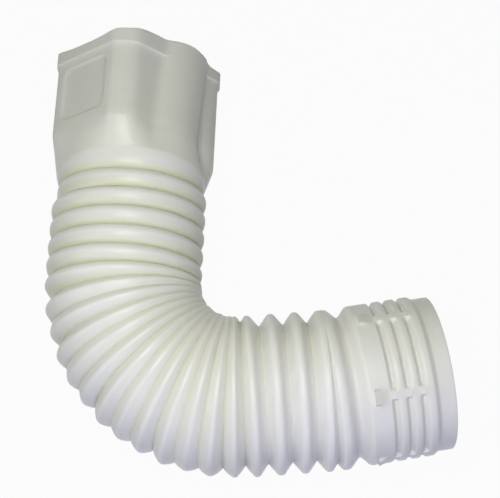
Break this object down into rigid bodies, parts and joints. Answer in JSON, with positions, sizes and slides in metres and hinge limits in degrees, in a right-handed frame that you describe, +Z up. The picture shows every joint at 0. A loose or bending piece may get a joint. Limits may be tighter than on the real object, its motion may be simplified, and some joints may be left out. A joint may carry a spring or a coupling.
{
  "type": "flexible downspout adapter",
  "caption": "Bent flexible adapter: a chamfered box socket for a downspout, a bellows of folds, and a ribbed round cuff with barbs for a drain pipe.",
  "frame": {"origin": "on the ground under the middle of the bounding box", "axes": "+Z up, with the adapter lying on its side; +X out of the round cuff along its axis; the box socket opens towards +Y"},
  "size_m": [0.2932, 0.3738, 0.1357],
  "materials": {
    "white_plastic": "satin"
  },
  "bodies": {
    "root": {"adapter_body": "white_plastic"}
  },
  "joints": []
}
